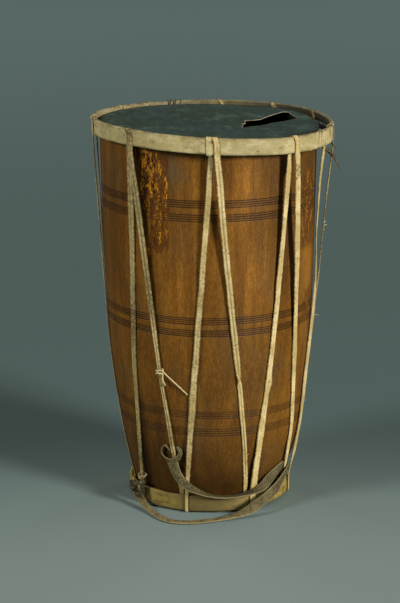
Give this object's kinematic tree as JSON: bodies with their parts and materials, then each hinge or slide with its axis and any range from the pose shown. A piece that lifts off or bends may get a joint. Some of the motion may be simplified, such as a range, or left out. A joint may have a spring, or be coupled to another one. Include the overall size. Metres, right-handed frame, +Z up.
{
  "type": "conical drum",
  "caption": "Tall tapering wooden hand drum with a skin at each end, rawhide-covered hoops, zigzag rawhide lacing and a leather carrying strap.",
  "frame": {"origin": "centre of the underside of the small end, on the shell's axis, at the floor", "axes": "+Z up along the shell's axis to the playing skin, -Y towards the side that carries the strap"},
  "size_m": [0.2949, 0.2963, 0.4766],
  "materials": {
    "shell_wood": "dark oiled wood, worn",
    "hoop_wood": "bare bent wood",
    "drum_skin": "thin dark drum skin, dull",
    "rawhide": "cream rawhide, stained",
    "lace_rawhide": "cream rawhide thong",
    "strap_leather": "grey-brown suede-like leather",
    "thread": "twisted fibre"
  },
  "bodies": {
    "root": {"shell": "shell_wood", "top_head": "drum_skin", "top_hoop_core": "hoop_wood", "top_hoop_cover": "rawhide", "hoop_lashing": "thread", "bottom_head": "drum_skin", "bottom_hoop_core": "hoop_wood", "bottom_hoop_cover": "rawhide", "lace_01": "lace_rawhide", "lace_02": "lace_rawhide", "lace_03": "lace_rawhide", "lace_04": "lace_rawhide", "lace_05": "lace_rawhide", "lace_06": "lace_rawhide", "lace_07": "lace_rawhide", "lace_08": "lace_rawhide", "lace_09": "lace_rawhide", "lace_10": "lace_rawhide", "carry_strap": "strap_leather", "strap_knot": "strap_leather", "lace_hitch": "thread", "tie_thread": "thread"}
  },
  "joints": []
}
